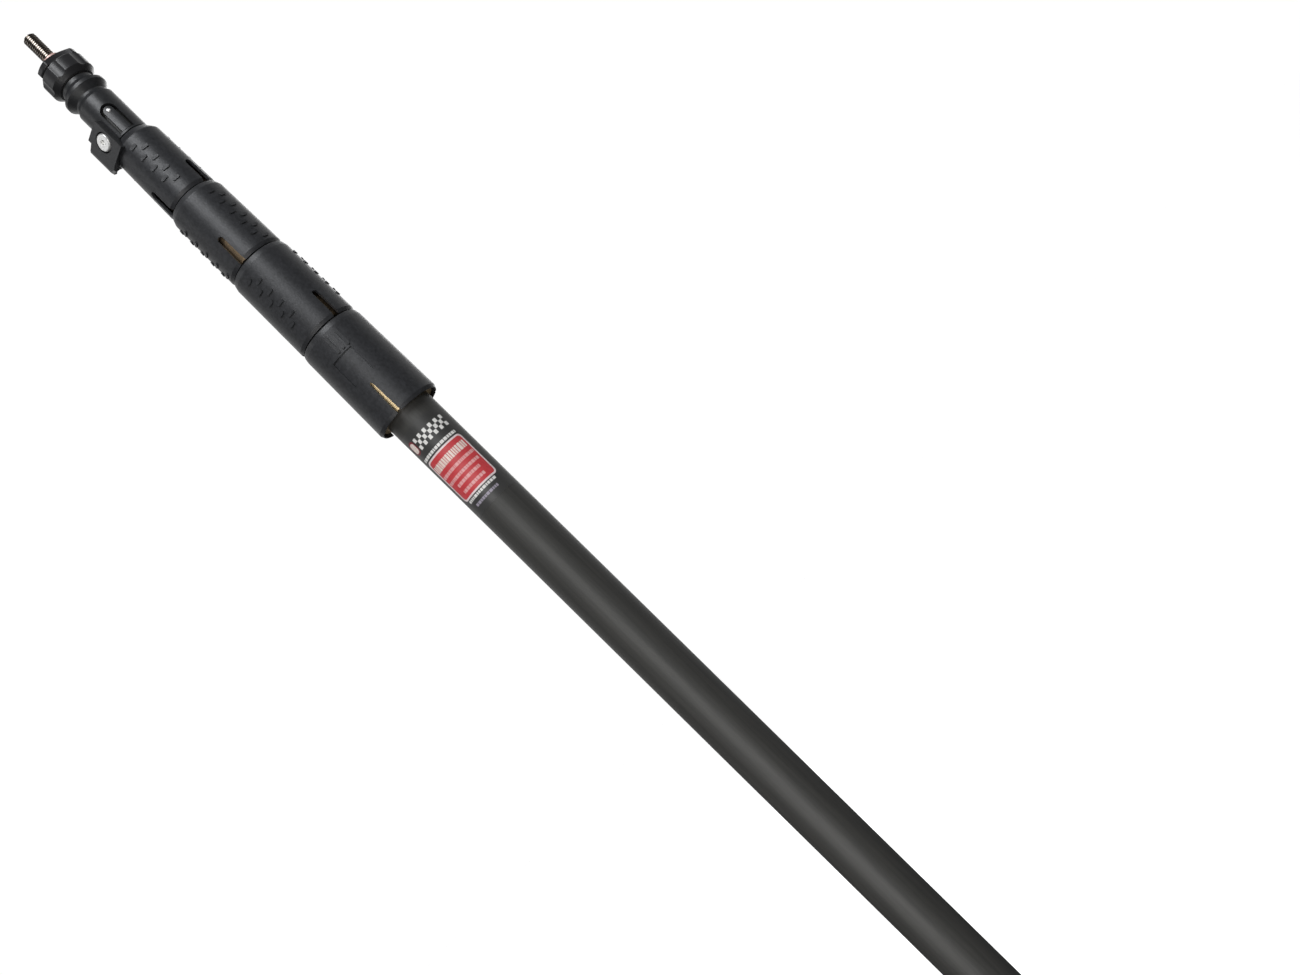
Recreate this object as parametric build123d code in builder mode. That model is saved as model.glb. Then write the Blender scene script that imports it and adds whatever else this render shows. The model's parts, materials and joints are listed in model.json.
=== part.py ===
"""Telescopic boom pole with five nested tubes, four twist-lock collars and a threaded head.

Millimetres, +Z along the pole from the rubber foot to the tip stud, origin at the centre of the
foot's underside. The pole is closed: every collar stands on the one below it. The cable clip is on
the -X side. An angle written "azimuth" is measured from -Y towards +X.
"""

import math
import os

from build123d import *

# ---- driving dimensions -------------------------------------------------------------------------
CLOSED_LENGTH = 1070.0
TUBE_DIAMETERS = [35.0, 31.0, 27.0, 23.0, 19.0]
TUBE_WALL = 1.2
FOOT_FLOOR = 8.0
NESTED_TUBE_BOTTOM = 30.0
FACE_GAP = 0.9

# Locks, from the main tube to the thinnest joint: height of the top rim, outer radius at the nose,
# below the nose's ramp and at the lower rim, height of the ramp, and the slots' azimuth, length
# and widths at their top and at the rim.
LOCK_TOPS = [779.3, 846.6, 907.8, 967.6]
LOCK_NOSE_RADII = [23.0, 21.6, 19.2, 14.5]
LOCK_UPPER_RADII = [23.7, 22.5, 20.6, 18.0]
LOCK_LOWER_RADII = [24.7, 23.1, 21.6, 19.0]
LOCK_RAMPS = [4.0, 4.0, 4.0, 5.6]
LOCK_LOWEST_RIM = 704.5
SLOT_AZIMUTHS = [-5.0, 38.0, -12.0, 64.0]
SLOT_LENGTHS = [26.5, 22.0, 23.0, 20.0]
SLOT_TOP_WIDTHS = [1.8, 3.8, 4.2, 6.0]
SLOT_RIM_WIDTHS = [3.0, 4.4, 4.8, 6.4]
SLOT_COUNT = 3

# Inside a lock, measured down from its top rim.
SKIRT_WALL = 2.0
SKIRT_SHOULDER = 1.5
NOSE_FILLET = 1.0
RAMP_FILLET = 2.0
RIM_BEVEL = 1.2
RIM_BEVEL_HEIGHT = 2.4
BEVEL_FILLET = 0.5
RIM_FILLET = 0.3
SKIRT_ABOVE_SLOT = 2.0
FERRULE_WALL = 3.6
THREAD_GAP = 0.35
LIP_DEPTH = 8.0
LIP_GAP = 0.35
WIPER_TOP = 2.5
WIPER_BOTTOM = 5.0
WIPER_GROOVE = 1.9
WIPER_GAP = 0.25
CONE_BOTTOM = 18.0
OLIVE_TOP = 8.6
OLIVE_BOTTOM = 18.5
OLIVE_TOP_WALL = 1.5
OLIVE_SHOULDER = 0.4
OLIVE_GAP = 0.08
OLIVE_SPLIT = 1.6
OLIVE_RELIEFS = 5
OLIVE_RELIEF_DEPTH = 6.5
TUBE_TOP_BELOW_LOCK = 22.5
FERRULE_ABOVE_RIM = 2.0
FERRULE_STEP_GAP = 0.1

# Guide bush bonded on the lower end of each sliding tube.
BUSH_LENGTH = 25.0
BUSH_GAP = 0.08
TRAVEL_MARGIN = 0.3

# Raised grip marks between the slots, in a staggered column.
MARK_ROWS = [0, 9, 10, 8]
MARK_PITCH = 5.0
MARK_LENGTH = 5.4
MARK_WIDTH = 2.2
MARK_OFFSET = 2.7
MARK_RAISED = 0.7
MARK_DEPTH = 1.2
MARKS_BELOW_TOP = [0.0, 11.0, 9.5, 12.5]

# Three grip bars and a shallow panel on the largest collar.
BAR_AZIMUTHS = [-5.0, 5.0, 15.0]
BAR_TOP = 773.0
BAR_LENGTH = 14.0
BAR_WIDTH = 2.2
BAR_RAISED = 1.0
PANEL_TOP = 757.5
PANEL_BOTTOM = 736.5
PANEL_FROM_AZIMUTH = -27.0
PANEL_TO_AZIMUTH = 14.0
PANEL_DEPTH = 0.9

# Head: stud, washer, lock nut, thumb knob and sleeve, heights above the foot.
STUD_RADIUS = 4.7625
STUD_CHAMFER = 1.0
STUD_CORE_RADIUS = 4.4
STUD_SHANK_RADIUS = 4.0
STUD_EXPOSED_BOTTOM = 1047.6
STUD_SHOULDER = 1026.0
STUD_BOTTOM = 980.0
CLIP_GROOVE_BOTTOM = 983.2
CLIP_GROOVE_TOP = 984.2
CLIP_GROOVE_RADIUS = 3.2
CLIP_OUTER_RADIUS = 6.2
CLIP_MOUTH = 5.0
WASHER_RADIUS = 6.7
WASHER_BORE = 4.9
WASHER_BOTTOM = 1045.2
NUT_BOTTOM = 1037.1
NUT_BORE = 4.85
NUT_LOBES = 3
NUT_RADIUS = 15.8
NUT_VALLEY = 10.9
NUT_SCOOP_RADIUS = 40.0
NUT_HUB_RADIUS = 10.3
NUT_FACE_RADIUS = 7.0
NUT_UNDERCUT = 0.6
NUT_LOWER_BEVEL = 1.2
NUT_CONE_HEIGHT = 4.0
KNOB_BOTTOM = 1022.6
KNOB_TOP = 1036.5
KNOB_LOBES = 6
KNOB_RADIUS = 16.8
KNOB_VALLEY = 15.8
KNOB_SCOOP_RADIUS = 9.0
KNOB_LOWER_BEVEL = 4.0
KNOB_UPPER_BEVEL = 1.4
KNOB_EDGE_MARGIN = 0.5
LOBE_FILLET = 1.4
THRUST_WASHER_RADIUS = 11.0
THRUST_WASHER_THICKNESS = 0.8
SLEEVE_TOP = 1021.5
SLEEVE_RADIUS = 14.0
SLEEVE_NECK_RADIUS = 12.2
SLEEVE_BEAD_RADIUS = 15.9
SLEEVE_TOP_BORE = 6.5
SLEEVE_BODY_TOP = 1003.2
SLEEVE_NECK_BOTTOM = 1006.4
SLEEVE_NECK_TOP = 1008.0
SLEEVE_BEAD_BOTTOM = 1012.6
SLEEVE_BEAD_TOP = 1014.8
SLEEVE_RIM_BOTTOM = 1019.0
INSERT_FLANGE_TOP = 1012.0
INSERT_FLANGE = 2.0
INSERT_LENGTH = 25.0
INSERT_BORE = 4.09

# Release tongue: a spring tongue framed by a U-shaped slot in the sleeve.
TONGUE_AZIMUTH = 17.0
TONGUE_TIP = 990.7
TONGUE_ROOT = 970.1
TONGUE_HALF_WIDTH = 3.5
TONGUE_INNER_RADIUS = 11.2
TONGUE_SLOT = 2.2
TONGUE_ROOT_GAP = 0.3
TONGUE_PIN_RADIUS = 1.5
TONGUE_PIN_FROM_TIP = 3.4
TONGUE_PIN_DEPTH = 1.8
TONGUE_PIN_RAISED = 0.9

# Cable clip on the sleeve, with its screw on a slanted face.
CLIP_SCREW_AZIMUTH = -40.0
CLIP_SCREW_HEIGHT = 973.0
CLIP_FACE_DISTANCE = 20.6
CLIP_FACE_HALF_WIDTH = 8.6
CLIP_TOP = 984.8
CLIP_BOTTOM = 959.6
CLIP_COLLAR_CLEARANCE = 0.6
CLIP_FRONT_AZIMUTH = -14.0
CLIP_BACK_AZIMUTH = -122.0
CLIP_SIDE_X = -20.4
CLIP_SIDE_FRONT_Y = -6.0
CLIP_BACK_Y = 6.4
HOOK_INNER_X = -16.0
HOOK_INNER_Y = -8.0
HOOK_FILLET = 1.2
HOOK_TOP = 982.0
HOOK_OUTER_X = -25.5
HOOK_FRONT_CORNERS = [(-24.4, -4.6), (HOOK_OUTER_X, -2.4)]
HOOK_BACK_CORNERS = [(HOOK_OUTER_X, 3.4), (-23.4, CLIP_BACK_Y)]
HOOK_CHAMFER = 4.0
HOOK_BACK_RISE = 7.0
CABLE_RADIUS = 2.75
CABLE_CENTRE_X = -21.4
CABLE_MOUTH = 3.2
SCREW_RECESS_RADIUS = 7.1
SCREW_RECESS_FLOOR = 18.4
SCREW_HEAD_RADIUS = 5.9
SCREW_HEAD_HEIGHT = 2.9
SCREW_HEAD_FILLET = 0.9
SCREW_SHANK_RADIUS = 2.5
SCREW_END = 10.6
SCREW_SOCKET_RADIUS = 2.3
SCREW_SOCKET_DEPTH = 1.7
CLIP_INSERT_RADIUS = 3.5
CLIP_INSERT_INNER_END = 10.2

# Lower end of the main tube.
FOOT_RADIUS = 20.5
FOOT_HEIGHT = 26.0
PLUG_HEIGHT = 18.0
PLUG_WALL = 3.5
PLUG_FLOOR = 4.0

# Label wrapped on the main tube.
LABEL_TOP = 694.0
LABEL_BOTTOM = 622.0
LABEL_FROM_AZIMUTH = -63.0
LABEL_TO_AZIMUTH = 58.0
LABEL_THICKNESS = 0.12

FULL_TURN = 360.0
tube_radii = [diameter / 2 for diameter in TUBE_DIAMETERS]
lock_rims = [LOCK_LOWEST_RIM] + [top + FACE_GAP for top in LOCK_TOPS[:-1]]
section_travels = [
    top - TUBE_TOP_BELOW_LOCK - NESTED_TUBE_BOTTOM - BUSH_LENGTH - TRAVEL_MARGIN
    for top in LOCK_TOPS
]


def radial_plane(azimuth, distance=0.0, height=0.0):
    """Plane facing outwards at an azimuth: its x runs round the pole and its y runs up."""
    angle = math.radians(azimuth)
    outward = Vector(math.sin(angle), -math.cos(angle), 0)
    around = Vector(math.cos(angle), math.sin(angle), 0)
    return Plane(
        origin=outward * distance + Vector(0, 0, height), x_dir=around, z_dir=outward
    )


def profile_plane(azimuth):
    """Plane holding the pole's axis: its x runs outwards at the azimuth and its y runs up."""
    angle = math.radians(azimuth)
    outward = Vector(math.sin(angle), -math.cos(angle), 0)
    return Plane(
        origin=(0, 0, 0), x_dir=outward, z_dir=outward.cross(Vector(0, 0, 1))
    )


def polar(radius, azimuth):
    """Point at a radius and azimuth, as seen from above."""
    angle = math.radians(azimuth)
    return (radius * math.sin(angle), -radius * math.cos(angle))


def save(part, name):
    """Label a finished piece and write its STEP file."""
    part.label = name
    export_step(part, f"parts/{name}.step")


def ring(outer_radius, inner_radius, bottom, top):
    """A plain round tube or washer on the pole's axis."""
    with BuildPart() as piece:
        with BuildSketch(Plane.XY.offset(bottom)):
            Circle(outer_radius)
            Circle(inner_radius, mode=Mode.SUBTRACT)
        extrude(amount=top - bottom)
    return piece


def turned(points):
    """A solid of revolution about the pole's axis from a closed outline of (radius, height)."""
    with BuildPart() as piece:
        with BuildSketch(Plane.XZ):
            with BuildLine():
                Polyline(*points, close=True)
            make_face()
        revolve(axis=Axis.Z)
    return piece


def radius_on_collar(index, height):
    """Outer radius of a collar's tapered wall at a height."""
    ramp_end = LOCK_TOPS[index] - LOCK_RAMPS[index]
    share = (ramp_end - height) / (ramp_end - lock_rims[index])
    upper = LOCK_UPPER_RADII[index]
    return upper + share * (LOCK_LOWER_RADII[index] - upper)


def collar_outline(index):
    """Closed (radius, height) outline of a collar: nose, taper, hollow skirt, thread and cone."""
    top = LOCK_TOPS[index]
    rim = lock_rims[index]
    bevel_end = rim + RIM_BEVEL_HEIGHT
    inner_tube = tube_radii[index + 1]
    thread = tube_radii[index] + FERRULE_WALL + THREAD_GAP
    skirt = LOCK_LOWER_RADII[index] - SKIRT_WALL
    skirt_top = rim + SLOT_LENGTHS[index] + SKIRT_ABOVE_SLOT
    bore = inner_tube + LIP_GAP
    groove = inner_tube + WIPER_GROOVE
    return [
        (bore, top),
        (LOCK_NOSE_RADII[index], top),
        (LOCK_UPPER_RADII[index], top - LOCK_RAMPS[index]),
        (radius_on_collar(index, bevel_end), bevel_end),
        (LOCK_LOWER_RADII[index] - RIM_BEVEL, rim),
        (skirt, rim),
        (skirt, skirt_top),
        (thread, skirt_top + SKIRT_SHOULDER),
        (thread, top - CONE_BOTTOM),
        (groove, top - LIP_DEPTH),
        (bore, top - LIP_DEPTH),
        (bore, top - WIPER_BOTTOM),
        (groove, top - WIPER_BOTTOM),
        (groove, top - WIPER_TOP),
        (bore, top - WIPER_TOP),
    ]


def make_collar(index):
    """A moulded locking collar with three slots that are open at its lower rim."""
    rim = lock_rims[index]
    slot_top = rim + SLOT_LENGTHS[index]
    top_half = SLOT_TOP_WIDTHS[index] / 2
    rim_half = SLOT_RIM_WIDTHS[index] / 2
    cut_reach = LOCK_LOWER_RADII[index] + 1
    corners = collar_outline(index)
    edge_fillets = [NOSE_FILLET, RAMP_FILLET, BEVEL_FILLET, RIM_FILLET]
    with BuildPart() as collar:
        with BuildSketch(Plane.XZ) as outline:
            with BuildLine():
                Polyline(*corners, close=True)
            make_face()
            for corner, radius in zip(corners[1:5], edge_fillets):
                fillet(outline.vertices().sort_by_distance(corner)[0], radius)
        revolve(axis=Axis.Z)
        for number in range(SLOT_COUNT):
            azimuth = SLOT_AZIMUTHS[index] + number * FULL_TURN / SLOT_COUNT
            with BuildSketch(radial_plane(azimuth)):
                with BuildLine():
                    left = Line((-rim_half, rim), (-top_half, slot_top - top_half))
                    end = ThreePointArc(
                        left @ 1, (0, slot_top), (top_half, slot_top - top_half)
                    )
                    right = Line(end @ 1, (rim_half, rim))
                    Line(right @ 1, left @ 0)
                make_face()
            extrude(amount=cut_reach, mode=Mode.SUBTRACT)
        if MARK_ROWS[index]:
            add_grip_marks(index)
        else:
            add_bars_and_panel(index)
    return collar


def add_grip_marks(index):
    """Raise a staggered column of short rounded bars midway between the slots."""
    for number in range(SLOT_COUNT):
        azimuth = SLOT_AZIMUTHS[index] + (number + 0.5) * FULL_TURN / SLOT_COUNT
        for row in range(MARK_ROWS[index]):
            height = LOCK_TOPS[index] - MARKS_BELOW_TOP[index] - row * MARK_PITCH
            wall = radius_on_collar(index, height)
            side = 1 if row % 2 else -1
            turn = side * math.degrees(MARK_OFFSET / wall)
            plane = radial_plane(azimuth + turn, wall - MARK_DEPTH, height)
            with BuildSketch(plane) as mark:
                SlotOverall(MARK_LENGTH, MARK_WIDTH)
            extrude(mark.sketch, amount=MARK_DEPTH + MARK_RAISED)


def add_bars_and_panel(index):
    """Raise three axial grip bars and sink a shallow panel under them."""
    middle = BAR_TOP - BAR_LENGTH / 2
    wall = radius_on_collar(index, middle)
    for azimuth in BAR_AZIMUTHS:
        with BuildSketch(radial_plane(azimuth, wall - MARK_DEPTH, middle)) as bar:
            SlotOverall(BAR_LENGTH, BAR_WIDTH, rotation=90)
        extrude(bar.sketch, amount=MARK_DEPTH + BAR_RAISED)
    upper = radius_on_collar(index, PANEL_TOP)
    lower = radius_on_collar(index, PANEL_BOTTOM)
    with BuildSketch(profile_plane(PANEL_FROM_AZIMUTH)) as panel:
        with BuildLine():
            Polyline(
                (upper - PANEL_DEPTH, PANEL_TOP),
                (upper + 1, PANEL_TOP),
                (lower + 1, PANEL_BOTTOM),
                (lower - PANEL_DEPTH, PANEL_BOTTOM),
                close=True,
            )
        make_face()
    revolve(
        panel.sketch,
        axis=Axis.Z,
        revolution_arc=PANEL_TO_AZIMUTH - PANEL_FROM_AZIMUTH,
        mode=Mode.SUBTRACT,
    )


def make_ferrule(index):
    """Threaded body bonded on a tube's top, with a step that stops the next tube's bush."""
    top = LOCK_TOPS[index] - OLIVE_BOTTOM
    tube_top = LOCK_TOPS[index] - TUBE_TOP_BELOW_LOCK
    bottom = lock_rims[index] + FERRULE_ABOVE_RIM
    outer_tube = tube_radii[index]
    step = tube_radii[index + 1] + FERRULE_STEP_GAP
    outer = outer_tube + FERRULE_WALL
    return turned(
        [
            (outer_tube, bottom),
            (outer, bottom),
            (outer, top),
            (step, top),
            (step, tube_top),
            (outer_tube, tube_top),
        ]
    )


def make_olive(index):
    """Split conical olive that the collar squeezes on to the sliding tube."""
    top = LOCK_TOPS[index] - OLIVE_TOP
    bottom = LOCK_TOPS[index] - OLIVE_BOTTOM
    inner = tube_radii[index + 1] + OLIVE_GAP
    wide = tube_radii[index] + FERRULE_WALL - OLIVE_SHOULDER
    narrow = tube_radii[index + 1] + OLIVE_TOP_WALL
    height = top - bottom
    with BuildPart() as olive:
        with BuildSketch(Plane.XZ):
            with BuildLine():
                Polyline(
                    (inner, bottom),
                    (wide, bottom),
                    (narrow, top),
                    (inner, top),
                    close=True,
                )
            make_face()
        revolve(axis=Axis.Z)
        with BuildSketch(Plane.XY.offset(bottom)):
            with Locations((wide / 2, 0)):
                Rectangle(wide, OLIVE_SPLIT)
        extrude(amount=height, mode=Mode.SUBTRACT)
        for number in range(OLIVE_RELIEFS):
            turn = (number + 1) * FULL_TURN / (OLIVE_RELIEFS + 1)
            with BuildSketch(Plane.XY.offset(top - OLIVE_RELIEF_DEPTH)):
                with PolarLocations(wide / 2, 1, start_angle=turn):
                    Rectangle(wide, OLIVE_SPLIT)
            extrude(amount=OLIVE_RELIEF_DEPTH, mode=Mode.SUBTRACT)
    return olive


def lobed_solid(bottom, top, lobes, radius, valley, scoop_radius, start_angle):
    """Straight-sided knob with finger scoops, to be shaped further in the caller's builder."""
    with BuildSketch(Plane.XY.offset(bottom)) as outline:
        Circle(radius)
        with PolarLocations(valley + scoop_radius, lobes, start_angle=start_angle):
            Circle(scoop_radius, mode=Mode.SUBTRACT)
        fillet(outline.vertices(), LOBE_FILLET)
    extrude(outline.sketch, amount=top - bottom)


def make_lock_nut():
    """Three-lobed nut with a conical face, screwed on the stud."""
    half_pitch = FULL_TURN / NUT_LOBES / 2
    outer = NUT_RADIUS + KNOB_EDGE_MARGIN
    with BuildPart() as nut:
        lobed_solid(
            NUT_BOTTOM,
            WASHER_BOTTOM,
            NUT_LOBES,
            NUT_RADIUS,
            NUT_VALLEY,
            NUT_SCOOP_RADIUS,
            half_pitch,
        )
        with BuildSketch(Plane.XZ):
            with BuildLine():
                Polyline(
                    (NUT_BORE, NUT_BOTTOM),
                    (NUT_HUB_RADIUS, NUT_BOTTOM),
                    (NUT_HUB_RADIUS, NUT_BOTTOM + NUT_UNDERCUT),
                    (outer - NUT_LOWER_BEVEL, NUT_BOTTOM + NUT_UNDERCUT),
                    (outer, NUT_BOTTOM + NUT_UNDERCUT + NUT_LOWER_BEVEL),
                    (outer, WASHER_BOTTOM - NUT_CONE_HEIGHT),
                    (NUT_FACE_RADIUS, WASHER_BOTTOM),
                    (NUT_BORE, WASHER_BOTTOM),
                    close=True,
                )
            make_face()
        revolve(axis=Axis.Z, mode=Mode.INTERSECT)
    return nut


def make_thumb_knob():
    """Knob with six shallow flutes, fixed on the stud to turn it without turning the pole."""
    half_pitch = FULL_TURN / KNOB_LOBES / 2
    outer = KNOB_RADIUS + KNOB_EDGE_MARGIN
    with BuildPart() as knob:
        lobed_solid(
            KNOB_BOTTOM,
            KNOB_TOP,
            KNOB_LOBES,
            KNOB_RADIUS,
            KNOB_VALLEY,
            KNOB_SCOOP_RADIUS,
            half_pitch,
        )
        with BuildSketch(Plane.XZ):
            with BuildLine():
                Polyline(
                    (STUD_SHANK_RADIUS, KNOB_BOTTOM),
                    (outer - KNOB_LOWER_BEVEL, KNOB_BOTTOM),
                    (outer, KNOB_BOTTOM + KNOB_LOWER_BEVEL),
                    (outer, KNOB_TOP - KNOB_UPPER_BEVEL),
                    (outer - KNOB_UPPER_BEVEL, KNOB_TOP),
                    (STUD_CORE_RADIUS, KNOB_TOP),
                    (STUD_CORE_RADIUS, STUD_SHOULDER),
                    (STUD_SHANK_RADIUS, STUD_SHOULDER),
                    close=True,
                )
            make_face()
        revolve(axis=Axis.Z, mode=Mode.INTERSECT)
    return knob


def make_tip_stud():
    """3/8 inch stud with a plain shank that turns in the head insert and takes a circlip."""
    return turned(
        [
            (0, STUD_BOTTOM),
            (STUD_SHANK_RADIUS, STUD_BOTTOM),
            (STUD_SHANK_RADIUS, CLIP_GROOVE_BOTTOM),
            (CLIP_GROOVE_RADIUS, CLIP_GROOVE_BOTTOM),
            (CLIP_GROOVE_RADIUS, CLIP_GROOVE_TOP),
            (STUD_SHANK_RADIUS, CLIP_GROOVE_TOP),
            (STUD_SHANK_RADIUS, STUD_SHOULDER),
            (STUD_CORE_RADIUS, STUD_SHOULDER),
            (STUD_CORE_RADIUS, STUD_EXPOSED_BOTTOM),
            (STUD_RADIUS, STUD_EXPOSED_BOTTOM),
            (STUD_RADIUS, CLOSED_LENGTH - STUD_CHAMFER),
            (STUD_RADIUS - STUD_CHAMFER, CLOSED_LENGTH),
            (0, CLOSED_LENGTH),
        ]
    )


def make_retaining_clip():
    """Circlip in the shank's groove, with an open mouth."""
    with BuildPart() as clip:
        with BuildSketch(Plane.XY.offset(CLIP_GROOVE_BOTTOM)):
            Circle(CLIP_OUTER_RADIUS)
            Circle(CLIP_GROOVE_RADIUS, mode=Mode.SUBTRACT)
            with Locations((0, CLIP_OUTER_RADIUS)):
                Rectangle(CLIP_MOUTH, 2 * CLIP_OUTER_RADIUS, mode=Mode.SUBTRACT)
        extrude(amount=CLIP_GROOVE_TOP - CLIP_GROOVE_BOTTOM)
    return clip


def make_head_insert():
    """Aluminium insert bonded in the innermost tube, which the stud's shank turns in."""
    tube_top = INSERT_FLANGE_TOP - INSERT_FLANGE
    inside = tube_radii[-1] - TUBE_WALL
    return turned(
        [
            (INSERT_BORE, tube_top - INSERT_LENGTH),
            (inside, tube_top - INSERT_LENGTH),
            (inside, tube_top),
            (tube_radii[-1], tube_top),
            (tube_radii[-1], INSERT_FLANGE_TOP),
            (INSERT_BORE, INSERT_FLANGE_TOP),
        ]
    )


def make_head_sleeve(bottom):
    """Moulded sleeve over the innermost tube: bead at the top, window for the tongue."""
    tube = tube_radii[-1]
    window_half = TONGUE_HALF_WIDTH + TONGUE_SLOT
    window_top = TONGUE_TIP + TONGUE_SLOT
    with BuildPart() as sleeve:
        with BuildSketch(Plane.XZ):
            with BuildLine():
                Polyline(
                    (tube, bottom),
                    (SLEEVE_RADIUS, bottom),
                    (SLEEVE_RADIUS, SLEEVE_BODY_TOP),
                    (SLEEVE_NECK_RADIUS, SLEEVE_NECK_BOTTOM),
                    (SLEEVE_NECK_RADIUS, SLEEVE_NECK_TOP),
                    (SLEEVE_BEAD_RADIUS, SLEEVE_BEAD_BOTTOM),
                    (SLEEVE_BEAD_RADIUS, SLEEVE_BEAD_TOP),
                    (SLEEVE_NECK_RADIUS, SLEEVE_RIM_BOTTOM),
                    (SLEEVE_NECK_RADIUS, SLEEVE_TOP),
                    (SLEEVE_TOP_BORE, SLEEVE_TOP),
                    (SLEEVE_TOP_BORE, INSERT_FLANGE_TOP),
                    (tube, INSERT_FLANGE_TOP),
                    close=True,
                )
            make_face()
        revolve(axis=Axis.Z)
        with BuildSketch(radial_plane(TONGUE_AZIMUTH)):
            with BuildLine():
                left = Line(
                    (-window_half, TONGUE_ROOT - TONGUE_ROOT_GAP),
                    (-window_half, window_top - window_half),
                )
                end = ThreePointArc(
                    left @ 1, (0, window_top), (window_half, window_top - window_half)
                )
                right = Line(end @ 1, (window_half, TONGUE_ROOT - TONGUE_ROOT_GAP))
                Line(right @ 1, left @ 0)
            make_face()
        extrude(amount=SLEEVE_RADIUS + 1, mode=Mode.SUBTRACT)
        pocket = radial_plane(
            CLIP_SCREW_AZIMUTH, CLIP_INSERT_INNER_END, CLIP_SCREW_HEIGHT
        )
        with BuildSketch(pocket):
            Circle(CLIP_INSERT_RADIUS)
        extrude(amount=SLEEVE_RADIUS, mode=Mode.SUBTRACT)
    return sleeve


def tongue_pin_plane():
    """Plane of the pin's inner end, facing outwards."""
    return radial_plane(
        TONGUE_AZIMUTH, SLEEVE_RADIUS - TONGUE_PIN_DEPTH, TONGUE_TIP - TONGUE_PIN_FROM_TIP
    )


def make_release_tongue():
    """Spring tongue flush with the sleeve, drilled for the pin near its tip."""
    with BuildPart() as tongue:
        with BuildSketch(radial_plane(TONGUE_AZIMUTH, TONGUE_INNER_RADIUS)):
            with BuildLine():
                left = Line(
                    (-TONGUE_HALF_WIDTH, TONGUE_ROOT),
                    (-TONGUE_HALF_WIDTH, TONGUE_TIP - TONGUE_HALF_WIDTH),
                )
                end = ThreePointArc(
                    left @ 1,
                    (0, TONGUE_TIP),
                    (TONGUE_HALF_WIDTH, TONGUE_TIP - TONGUE_HALF_WIDTH),
                )
                right = Line(end @ 1, (TONGUE_HALF_WIDTH, TONGUE_ROOT))
                Line(right @ 1, left @ 0)
            make_face()
        extrude(amount=SLEEVE_RADIUS)
        with BuildSketch(Plane.XY.offset(TONGUE_ROOT - 1)):
            Circle(SLEEVE_RADIUS)
        extrude(amount=TONGUE_TIP - TONGUE_ROOT + 2, mode=Mode.INTERSECT)
        with BuildSketch(tongue_pin_plane()):
            Circle(TONGUE_PIN_RADIUS)
        extrude(amount=SLEEVE_RADIUS, mode=Mode.SUBTRACT)
    return tongue


def make_tongue_pin():
    """Small domed steel pin set in the tongue."""
    seat = tongue_pin_plane()
    outward = Axis(seat.origin, seat.z_dir)
    with BuildPart() as pin:
        with BuildSketch(seat):
            Circle(TONGUE_PIN_RADIUS)
        extrude(amount=TONGUE_PIN_DEPTH + TONGUE_PIN_RAISED)
        rim = pin.edges().filter_by(GeomType.CIRCLE).sort_by(outward)[-1]
        fillet(rim, TONGUE_PIN_RAISED)
    return pin


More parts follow.
